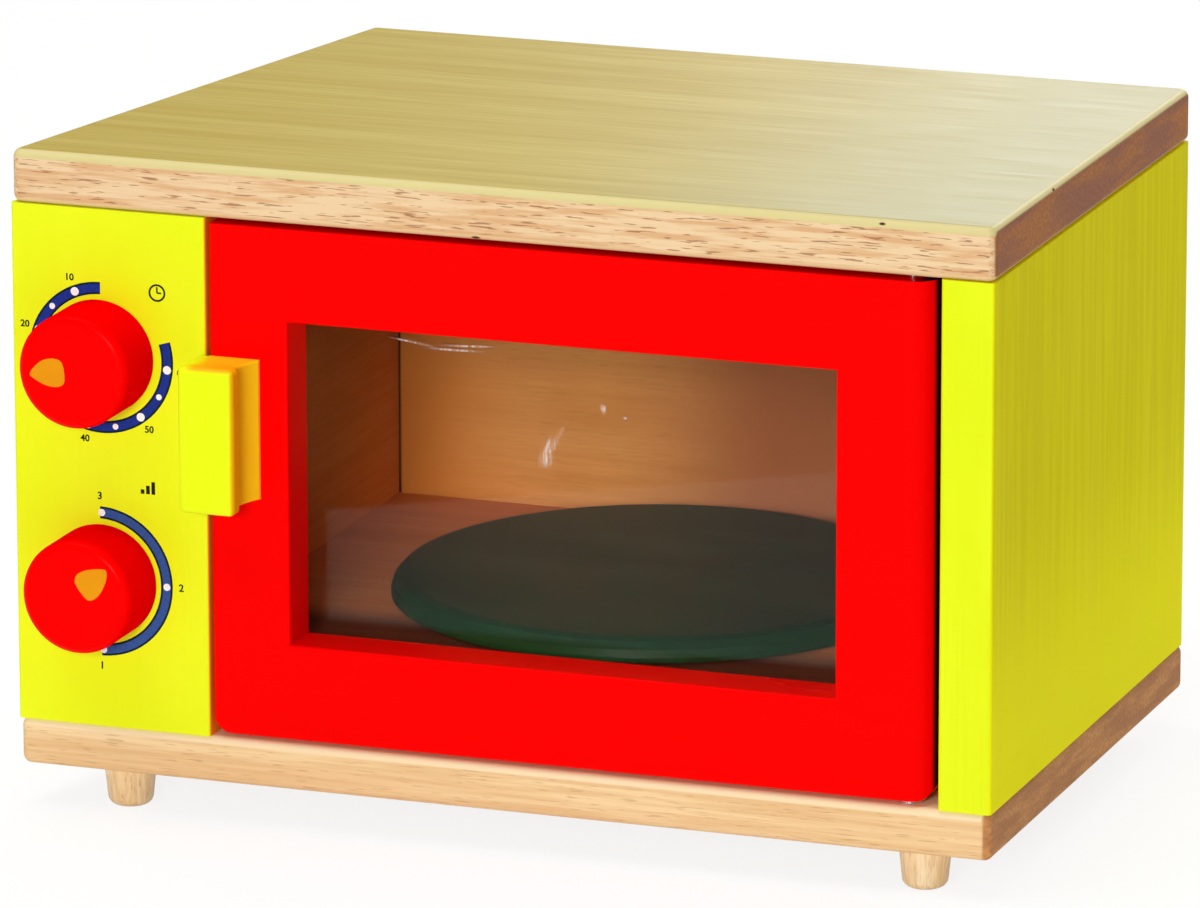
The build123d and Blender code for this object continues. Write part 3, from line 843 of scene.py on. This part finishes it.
def on_ring(centre, radius, angle):
    """A point at angle degrees, anticlockwise from twelve o'clock."""
    turn = math.radians(angle)
    return centre[0] - radius * math.sin(turn), centre[1] + radius * math.cos(turn)


def arc_band(centre, inner, outer, start, end, count=72):
    """The two rows of points of a band, from start to end degrees, anticlockwise from twelve."""
    angles = [start + (end - start) * i / count for i in range(count + 1)]
    return [on_ring(centre, outer, a) for a in angles], [on_ring(centre, inner, a) for a in angles]


print("plates, bands, circles and arcs are ready")

# %% [markdown]
# The timer's scale is a navy band from twelve o'clock anticlockwise to just above three o'clock.
# Six large white dots stand for tens of minutes, small ones for the fives between. The power scale
# is a lighter blue half ring from twelve to six with three dots. Both have thin dark edges.

# %% Print the two scales
TIMER_RING, POWER_RING = (-130.0, 146.85), (-131.1, 75.0)
RING_OUTER, RING_INNER, EDGE_WIDTH = 24.1, 20.2, 0.65
TIMER_END, POWER_END = 286.5, -180
TENS = [22.5, 70.9, 119.3, 167.6, 216.0, 264.4]
FIVES = [(a + b) / 2 for a, b in zip(TENS, TENS[1:])]
POWER_STEPS = (-1.5, -90, -178.5)


def print_shapes(name, outlines, bands, ink, back=FRONT_Y):
    """One printed colour: all its outlines and bands in a single piece."""
    bm = bmesh.new()
    for outline in outlines:
        add_plate(bm, outline, back)
    for band in bands:
        add_band(bm, band, back)
    return finish_piece(name, bm, ink, "cabinet")


def print_scale(name, ring, end, ink, dots):
    """A band in its ink, the dark edges beside it and the white dots on it, as (angle, radius)."""
    outer, inner = RING_OUTER - EDGE_WIDTH, RING_INNER + EDGE_WIDTH
    edges = [arc_band(ring, outer, RING_OUTER, 0, end), arc_band(ring, RING_INNER, inner, 0, end)]
    middle = (RING_OUTER + RING_INNER) / 2
    circles = [circle(on_ring(ring, middle, angle), radius) for angle, radius in dots]
    print_shapes(name + "_band", [], [arc_band(ring, inner, outer, 0, end)], ink)
    print_shapes(name + "_edges", [], edges, edge_ink)
    print_shapes(name + "_dots", circles, [], white_ink, FRONT_Y - INK_MM)


timer_dots = [(angle, 1.35) for angle in TENS] + [(angle, 0.95) for angle in FIVES]
power_dots = [(angle, 1.15) for angle in POWER_STEPS]
print_scale("timer_scale", TIMER_RING, TIMER_END, navy_ink, timer_dots)
print_scale("power_scale", POWER_RING, POWER_END, blue_ink, power_dots)
print("timer dots", len(timer_dots), "power dots", len(power_dots))

# %% [markdown]
# Plain figures label the scales: 10 to 60 minutes, and steps 1 to 3 for power. They are text
# objects in Blender's own font, turned to meshes, because drawing figures by hand would gain
# nothing. A font's size is larger than its figures are high, and a small offset makes the
# strokes as bold as printed ones.

# %% Print the figures
FONT_SIZE_PER_HEIGHT = 1.38
BOLDER_MM = 0.08
SAME_PLACE = 1e-7


def print_figures(name, labels, height_mm):
    """labels are (text, (x, z)) with the middle of each text at that place."""
    joined = bmesh.new()
    for text, (x, z) in labels:
        curve = bpy.data.curves.new(name + "_text", "FONT")
        curve.body, curve.size = text, height_mm * FONT_SIZE_PER_HEIGHT * MM
        curve.align_x, curve.align_y = "CENTER", "CENTER"
        curve.extrude = INK_MM / 2 * MM
        curve.offset = BOLDER_MM * MM
        curve.resolution_u = 4
        holder = new_object(name + "_text", curve)
        bpy.context.view_layer.update()
        settled = holder.evaluated_get(bpy.context.evaluated_depsgraph_get())
        mesh = bpy.data.meshes.new_from_object(settled)
        to_panel = Matrix.Translation((x * MM, (FRONT_Y - INK_MM / 2) * MM, z * MM))
        mesh.transform(to_panel @ Matrix.Rotation(math.pi / 2, 4, "X"))
        joined.from_mesh(mesh)
        bpy.data.objects.remove(holder)
        bpy.data.meshes.remove(mesh)
    bmesh.ops.remove_doubles(joined, verts=joined.verts, dist=SAME_PLACE)
    return finish_piece(name, joined, black_ink, "cabinet")


timer_labels = [(str(10 * (i + 1)), on_ring(TIMER_RING, 26.9, a)) for i, a in enumerate(TENS)]
power_places = (("3", 27.4, 0), ("2", 27.0, -90), ("1", 27.4, -180))
power_labels = [(text, on_ring(POWER_RING, radius, a)) for text, radius, a in power_places]
print_figures("timer_figures", timer_labels, 2.2)
print_figures("power_figures", power_labels, 2.4)
print("figures:", [text for text, _ in timer_labels + power_labels])

# %% [markdown]
# A small sign beside each scale says what the knob is for: a clock for the timer, three rising
# bars for the power. They are printed in the same black ink and built from the same shapes.

# %% Print the pictograms
CLOCK_AT, BARS_AT = (-111.0, 169.0), (-117.3, 104.4)


def bar(x, z, width, height):
    """An upright bar from its lower left corner."""
    return [(x, z), (x + width, z), (x + width, z + height), (x, z + height)]


def hand(centre, angle, length, width):
    """A straight clock hand from the centre, angle in degrees anticlockwise from twelve."""
    turn = math.radians(angle)
    across = (math.cos(turn) * width / 2, math.sin(turn) * width / 2)
    tip = on_ring(centre, length, angle)
    corners = ((centre, -1), (centre, 1), (tip, 1), (tip, -1))
    return [(end[0] + side * across[0], end[1] + side * across[1]) for end, side in corners]


hands = [hand(CLOCK_AT, 0, 1.9, 0.5), hand(CLOCK_AT, -90, 1.4, 0.5)]
clock_rim = [arc_band(CLOCK_AT, 2.2, 2.8, start, start + 180, 24) for start in (0, 180)]
bars = [bar(BARS_AT[0] + 1.8 * i, BARS_AT[1], 1.2, 1.4 + 1.3 * i) for i in range(3)]
print_shapes("timer_pictogram", hands, clock_rim, black_ink)
print_shapes("power_pictogram", bars, [], black_ink)
print("a clock with", len(hands), "hands and", len(bars), "bars")

# %% [markdown]
# ## Pointers on the knobs
# Each knob carries one orange pointer, a rounded triangle painted on the turned face. The outline
# is a closed spline through a few points, filled and raised by a tenth of a millimetre, with a
# small step at the rim as a thick coat of paint has. The timer's tip points to the left; the
# power knob's points down.

# %% Paint the pointers
KNOB_FACE_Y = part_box("timer_knob")[0][1] / MM
PAINT_STEPS = [(1.0, 0.0), (1.0, 0.06), (0.985, 0.09), (0.95, 0.1)]  # share of the outline, height in mm
TIMER_MARK = [
    (-13.8, -1.4), (-12.7, 0.6), (-9.9, 3.1), (-6.4, 4.1), (-3.4, 3.3),
    (-2.4, 0.0), (-2.5, -3.4), (-4.9, -4.8), (-8.9, -4.4), (-12.8, -2.5),
]
POWER_MARK = [
    (0.1, 5.8), (1.1, 8.0), (4.6, 9.6), (9.5, 10.2), (10.8, 9.2), (10.3, 5.9),
    (8.3, 2.0), (6.0, 0.1), (4.1, 0.0), (2.0, 2.1), (0.6, 4.2),
]


def smooth_loop(points, steps=10):
    """A closed curve that runs smoothly through the points."""
    loop = []
    for i in range(len(points)):
        a, b, c, d = (Vector(points[(i + k) % len(points)]) for k in (-1, 0, 1, 2))
        bend, swing = 2 * a - 5 * b + 4 * c - d, 3 * b - a - 3 * c + d
        for t in (s / steps for s in range(steps)):
            loop.append(0.5 * ((2 * b) + (c - a) * t + bend * t**2 + swing * t**3))
    return loop


def pointer(name, knob, mark):
    """A rounded mark on a knob's face. mark is its outline in mm from the knob's axis."""
    low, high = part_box(knob)
    axis = Vector(((low[0] + high[0]) / 2 / MM, (low[2] + high[2]) / 2 / MM))
    outline = [axis + p for p in smooth_loop(mark)]
    centre = sum(outline, Vector((0.0, 0.0))) / len(outline)
    bm = bmesh.new()
    loops = []
    for share, height in PAINT_STEPS:
        ring = [(centre.x + (p.x - centre.x) * share, centre.y + (p.y - centre.y) * share) for p in outline]
        loops.append([bm.verts.new((x * MM, (KNOB_FACE_Y - height) * MM, z * MM)) for x, z in ring])
    for lower, upper in zip(loops, loops[1:]):
        skin(bm, lower, upper)
    bmesh.ops.triangulate(bm, faces=[bm.faces.new(loops[0][::-1]), bm.faces.new(loops[-1])])
    return finish_piece(name, bm, orange_mark, knob)


timer_pointer = pointer("timer_pointer", "timer_knob", TIMER_MARK)
power_pointer = pointer("power_pointer", "power_knob", POWER_MARK)

# %% [markdown]
# ## Screws with threads and driver crosses
# The CAD screws are plain stand-ins for collision. A real wood screw has a cross recess and a
# thread, so each group is replaced by detailed ones in the same places. The shank is a grid of
# rings whose radius rises and falls with height and angle, which draws a helix without a boolean.
# The head's face is a disc with a cross-shaped hole, and the hole has sloping walls and a floor.

# %% Build a wood screw
AROUND = 32
PITCH_MM, THREAD_DEPTH = 1.1, 0.26
# outline from face to shank as (radius, height), shank's radius and start, recess's reach and depth
COUNTERSUNK = ([(3.0, 0.0), (3.2, -0.12), (1.6, -1.8)], 1.6, 1.8, 1.9, 1.2)
ROUND_FACE = [(1.25, 1.2), (1.8, 1.02), (2.15, 0.66), (2.3, 0.22), (2.3, 0.0), (1.2, 0.0)]
ROUND_HEAD = (ROUND_FACE, 1.2, 0.0, 1.25, 0.9)


def cross_outline(reach, arm):
    """The twelve corners of a plus sign with arms reach long and arm wide, anticlockwise."""
    h = arm / 2
    quarter = [(reach, -h), (reach, h), (h, h)]
    points = []
    for k in range(4):
        c, s = round(math.cos(k * math.pi / 2)), round(math.sin(k * math.pi / 2))
        points += [(x * c - y * s, x * s + y * c) for x, y in quarter]
    return points


def shank_radii(radius, start, length, z):
    """The radius at each angle of one ring at height z: a helix that tapers out at the tip."""
    taper = min(1.0, 0.12 + 0.88 * ((length + z) / (2.2 * radius)))
    started = min(1.0, max(0.0, (-z - start) / PITCH_MM))
    waves = [0.5 + 0.5 * math.cos(2 * math.pi * (z / PITCH_MM - i / AROUND)) for i in range(AROUND)]
    return [radius * taper * (1.0 - THREAD_DEPTH * started * (1.0 - wave**2)) for wave in waves]


def wood_screw(bm, to_frame, head, length):
    """Adds one closed screw whose head sits at height 0 and whose tip is at -length."""
    profile, shank_radius, shank_start, reach, depth = head

    def put(x, y, z):
        return bm.verts.new(to_frame @ Vector((x * MM, y * MM, z * MM)))

    def ring(radii, z):
        angles = [2 * math.pi * i / AROUND for i in range(AROUND)]
        return [put(r * math.cos(a), r * math.sin(a), z) for r, a in zip(radii, angles)]

    rings = [ring([radius] * AROUND, z) for radius, z in profile]
    steps = max(8, int((length - shank_start) / PITCH_MM * 6))
    for s in range(steps + 1):
        z = -shank_start - (length - shank_start) * s / steps
        rings.append(ring(shank_radii(shank_radius, shank_start, length, z), z))
    for upper, lower in zip(rings, rings[1:]):
        skin(bm, upper, lower)
    bm.faces.new(rings[-1])

    top_z = profile[0][1]
    mouth = [put(x, y, top_z) for x, y in cross_outline(reach, 0.32 * reach)]
    floor = [put(x, y, top_z - depth) for x, y in cross_outline(0.55 * reach, 0.24 * reach)]
    skin(bm, mouth, floor)
    bm.faces.new(floor)
    edges = [
        bm.edges.get((loop[i], loop[(i + 1) % len(loop)]))
        for loop in (rings[0], mouth)
        for i in range(len(loop))
    ]
    bmesh.ops.triangle_fill(bm, use_beauty=True, edges=edges)


print("screw heads:", COUNTERSUNK[0][0][0] * 2, "and", ROUND_FACE[-2][0] * 2, "mm across")

# %% [markdown]
# The places come from the CAD model itself. Each fastener group is one mesh with several separate
# solids in it, so the mesh is walked island by island and the box of each gives one screw's axis.
# A fixed list would do as well, until a size in the CAD model changes.

# %% Find the places of the screws
def solid_boxes(node):
    """The low and high corners in mm of each separate solid in a CAD node."""
    bm = bmesh.new()
    bm.from_mesh(frame["nodes"][node].data)
    bmesh.ops.remove_doubles(bm, verts=bm.verts, dist=SAME_PLACE)
    left, boxes = set(bm.verts), []
    while left:
        stack, island = [left.pop()], []
        while stack:
            vertex = stack.pop()
            island.append(vertex.co.copy())
            for edge in vertex.link_edges:
                other = edge.other_vert(vertex)
                if other in left:
                    left.remove(other)
                    stack.append(other)
        low = Vector([min(c[k] for c in island) for k in range(3)])
        high = Vector([max(c[k] for c in island) for k in range(3)])
        boxes.append((low / MM, high / MM))
    bm.free()
    return sorted(boxes, key=lambda box: tuple(round(c, 3) for c in box[0]))


def screw_spots(node, axis, level):
    """Where the heads sit: the middle of each solid, at level in mm along the screws' axis."""
    spots = [[(low[k] + high[k]) / 2 for k in range(3)] for low, high in solid_boxes(node)]
    for spot in spots:
        spot[axis] = level
    return spots


print("pane screws at", [[round(c, 1) for c in spot] for spot in screw_spots("pane_screws", 1, DOOR_BACK_Y)])

# %% [markdown]
# Countersunk screws hold the base board and the handle, round-headed ones the back panel and the
# pane. Each is turned a little further than the one before, as a hand leaves them.

# %% Drive the screws
BASE_UNDER_Z = 13.0
BACK_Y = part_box("back_panel")[1][1] / MM
TURN_FIRST, TURN_EACH = 0.3, 0.7
SCREWS = [
    # piece, CAD node, body, direction from tip to head, where the head sits, head, length in mm
    ("base_wood_screws", "base_screws", "cabinet", (0, 0, -1), BASE_UNDER_Z, COUNTERSUNK, 27.0),
    ("back_wood_screws", "back_panel_screws", "cabinet", (0, 1, 0), BACK_Y, ROUND_HEAD, 15.0),
    ("pane_wood_screws", "pane_screws", "door", (0, 1, 0), DOOR_BACK_Y, ROUND_HEAD, 10.8),
    ("handle_wood_screws", "handle_screws", "door", (0, 1, 0), DOOR_BACK_Y, COUNTERSUNK, 30.4),
]


def screw_group(name, node, body, head_way, level, head, length):
    """One piece with a detailed screw in the place of each solid of a CAD group."""
    bm = bmesh.new()
    turn = Vector((0, 0, 1)).rotation_difference(Vector(head_way)).to_matrix().to_4x4()
    axis = [abs(c) for c in head_way].index(1)
    for n, spot in enumerate(screw_spots(node, axis, level)):
        spin = Matrix.Rotation(TURN_EACH * n + TURN_FIRST, 4, "Z")
        wood_screw(bm, Matrix.Translation([c * MM for c in spot]) @ turn @ spin, head, length)
    piece = finish_piece(name, bm, zinc_steel, body)
    for polygon in piece.data.polygons:
        polygon.use_smooth = True
    piece.data.set_sharp_from_angle(angle=math.radians(35))
    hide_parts(node)
    return piece


for row in SCREWS:
    piece = screw_group(*row)
    print(piece.name, len(piece.data.polygons), "faces")

# %% [markdown]
# ## The studio
# The photograph is a catalogue shot: soft light from the front, left of the camera and at about
# its height, soft light from above, and a bright card behind on the right that whitens the right
# half of the lacquered top. The floor is matt paper. A white background could come from more
# light, but that would bleach the object, so the paper glows plain white for the camera and keeps
# a fifth of its lit look, with the shadow.

# %% Lay the floor
FLOOR_HALF_M = 6
PLAIN_WHITE_SHARE = 0.8


def stage_sheet(name, corners, material):
    """A flat sheet of studio kit, which isn't part of the object."""
    mesh = bpy.data.meshes.new(name)
    mesh.from_pydata(corners, [], [list(range(len(corners)))])
    mesh.materials.append(material)
    sheet = new_object(name, mesh)
    return sheet


def pale_paper(name):
    """Matt paper. Most of what the camera sees is plain white, the rest is lit paper."""
    material = new_material(name)
    paper = add(material, "BsdfDiffuse", {"Color": "#F4F4F2"})
    white = add(material, "Emission", {"Color": "#FFFFFF", "Strength": 1.05})
    seen = add(material, "LightPath", output="Is Camera Ray")
    for ray in ("Is Glossy Ray", "Is Transmission Ray"):
        also = add(material, "LightPath", output=ray)
        seen = add(material, "Math", {0: seen, 1: also}, operation="ADD")
    share = {0: seen, 1: PLAIN_WHITE_SHARE}
    share = add(material, "Math", share, operation="MULTIPLY", use_clamp=True)
    both = add(material, "MixShader", {0: share, 1: paper, 2: white})
    add(material, "OutputMaterial", {"Surface": both})
    return material


floor_corners = [(x * FLOOR_HALF_M, y * FLOOR_HALF_M, 0) for x, y in ((-1, -1), (1, -1), (1, 1), (-1, 1))]
floor_sheet = stage_sheet("studio_floor", floor_corners, pale_paper("paper_floor_white"))
print("made", floor_sheet.name, 2 * FLOOR_HALF_M, "m wide")

# %% [markdown]
# A low dark card lies across the front of the table. Its mirror image is the dark upper part of
# the window, and the pale table in front of it is the veil across the lower part. It is studio
# kit, so it casts no shadow and doesn't show to the camera.

# %% Stand up the dark card
CARD_LOW, CARD_HIGH = 0.0005, 0.085
CARD_LINE = [(-0.60, -0.36), (-0.195, -0.419), (-0.047, -0.524), (0.55, -0.80)]


def dark_card(name):
    """Matt black card, which gives the eye only a soft dark mirror image."""
    material = new_material(name)
    card = add(material, "BsdfDiffuse", {"Color": "#1A1A1A"})
    add(material, "OutputMaterial", {"Surface": card})
    return material


card_black = dark_card("card_black")
for n, (a, b) in enumerate(zip(CARD_LINE, CARD_LINE[1:])):
    corners = [(*a, CARD_LOW), (*b, CARD_LOW), (*b, CARD_HIGH), (*a, CARD_HIGH)]
    card = stage_sheet(f"studio_dark_card_{n}", corners, card_black)
    card.visible_camera = False
    card.visible_diffuse = False
    card.visible_shadow = False
print(len(CARD_LINE) - 1, "dark cards")

# %% [markdown]
# Area lamps are the soft boxes. A lamp's power in watts spreads over its area, so a larger lamp of
# the same power is softer and not brighter. The world is a dim even grey, as the room would be.

# %% Hang the lamps
ROOM_LIGHT = 0.22
LAMPS = [
    # name, place, looks at, width, height, watts
    ("key_front", (0.38, -2.57, 0.76), (0.0, 0.0, 0.10), 0.55, 0.45, 34.0),
    ("overhead", (-0.30, -0.20, 1.60), (0.0, 0.0, 0.10), 1.3, 1.3, 15.0),
    ("card_behind_right", (0.55, 2.20, 0.91), (0.10, 0.0, 0.20), 2.8, 1.2, 36.0),
]
for name, place, target, width, height, watts in LAMPS:
    lamp_data = bpy.data.lights.new(name, "AREA")
    lamp_data.shape = "RECTANGLE"
    lamp_data.size, lamp_data.size_y = width, height
    lamp_data.energy = watts
    lamp = new_object(name, lamp_data)
    lamp.location = place
    lamp.rotation_euler = (Vector(target) - Vector(place)).to_track_quat("-Z", "Y").to_euler()

world = bpy.data.worlds.new("studio_room")
bpy.context.scene.world = world
world.use_nodes = True
room = world.node_tree.nodes["Background"].inputs
room["Color"].default_value = linear("#FFFFFF")
room["Strength"].default_value = ROOM_LIGHT
bpy.context.scene.view_settings.view_transform = "Standard"
print("lamps:", [row[0] for row in LAMPS])
